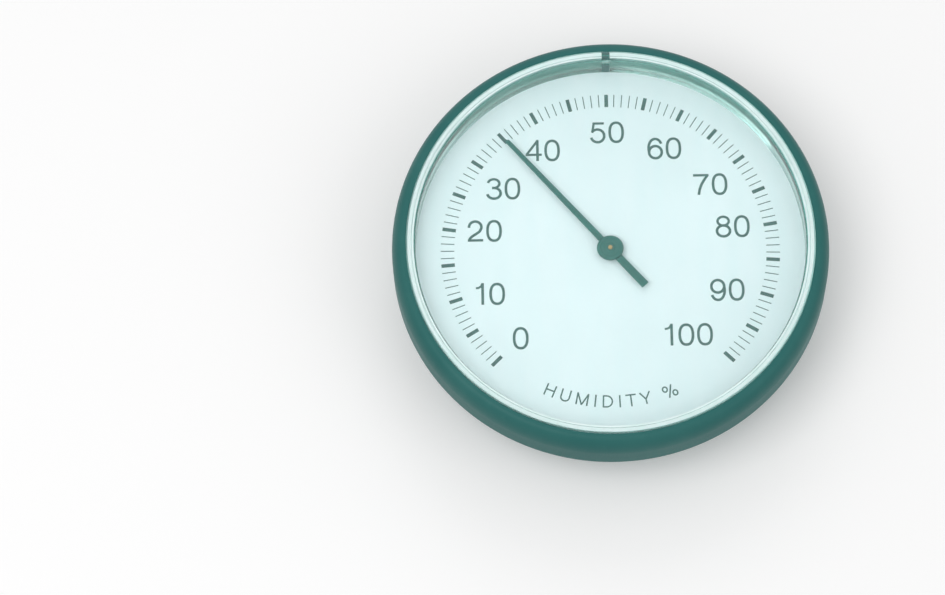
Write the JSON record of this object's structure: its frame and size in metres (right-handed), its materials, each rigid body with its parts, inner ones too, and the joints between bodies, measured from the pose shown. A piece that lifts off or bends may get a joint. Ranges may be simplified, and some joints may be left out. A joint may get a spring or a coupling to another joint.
{
  "type": "hygrometer",
  "caption": "Round dial hygrometer with a clear crystal, a pointer on a 270 degree humidity scale and a geared hair movement behind the dial.",
  "frame": {"origin": "centre of the flat back face", "axes": "+Z out of the dial towards the reader, +Y to twelve o'clock on the dial, +X to three o'clock"},
  "size_m": [0.1, 0.1, 0.0238],
  "materials": {
    "case_plastic": "fine satin, moulded",
    "cover_plastic": "fine matt, moulded",
    "clear_plastic": "polished, clear",
    "dial_white": "matt white lacquer",
    "pointer_paint": "satin lacquer",
    "brass": "turned and stamped, slightly dull",
    "steel": "bright zinc",
    "spring_steel": "blued",
    "hair_fibre": "fine pale fibres"
  },
  "bodies": {
    "root": {"case_body": "case_plastic", "bezel_ring": "case_plastic", "crystal": "clear_plastic", "dial_plate": "dial_white", "dial_studs": "steel", "dial_stud_nuts": "steel", "back_cover": "cover_plastic", "back_cover_screws": "steel", "base_plate": "brass", "front_plate": "brass", "pillars": "brass", "rear_pillar_screws": "steel", "front_pillar_screws": "steel", "pointer_bush_rear": "brass", "pointer_bush_front": "brass", "sector_bush_rear": "brass", "sector_bush_front": "brass", "stop_pins": "steel", "hairspring_stud": "brass", "hairspring": "spring_steel", "hair_bundle": "hair_fibre", "friction_washer": "steel"},
    "pointer_body": {"pointer_arbor": "brass", "pinion": "brass", "hairspring_collet": "brass", "pointer": "pointer_paint", "pointer_hub": "pointer_paint"},
    "sector_body": {"sector_arbor": "steel", "sector_hub": "brass", "sector_wheel": "brass", "counterweight": "brass", "hair_lever": "steel", "lever_clamp_plate": "brass", "lever_clamp_screw": "steel"},
    "trim_body": {"trim_screw": "brass", "trim_arm": "steel", "anchor_clamp_plate": "brass", "anchor_clamp_screw": "steel"}
  },
  "joints": [
    {"name": "sector_rock", "type": "hinge", "parent": "root", "child": "sector_body", "pos_m": [-0.01851, -0.02034, 0.0065], "axis": [0, 0, 1], "range_deg": [-9.5, 17.6], "stiffness_Nm_per_rad": 0.02, "deforming": ["hair_bundle"]},
    {"name": "pointer_turn", "type": "hinge", "parent": "root", "child": "pointer_body", "pos_m": [0, 0, 0.017], "axis": [0, 0, 1], "range_deg": [-176.1, 95.1], "deforming": ["hairspring"]},
    {"name": "trim_turn", "type": "hinge", "parent": "root", "child": "trim_body", "pos_m": [-0.01951, 0.02896, 0.0065], "axis": [0, 0, 1], "range_deg": [-12, 12], "deforming": ["hair_bundle"]}
  ],
  "couplings": [
    {"joint": "pointer_turn", "follows": "sector_rock", "ratio": -10}
  ]
}
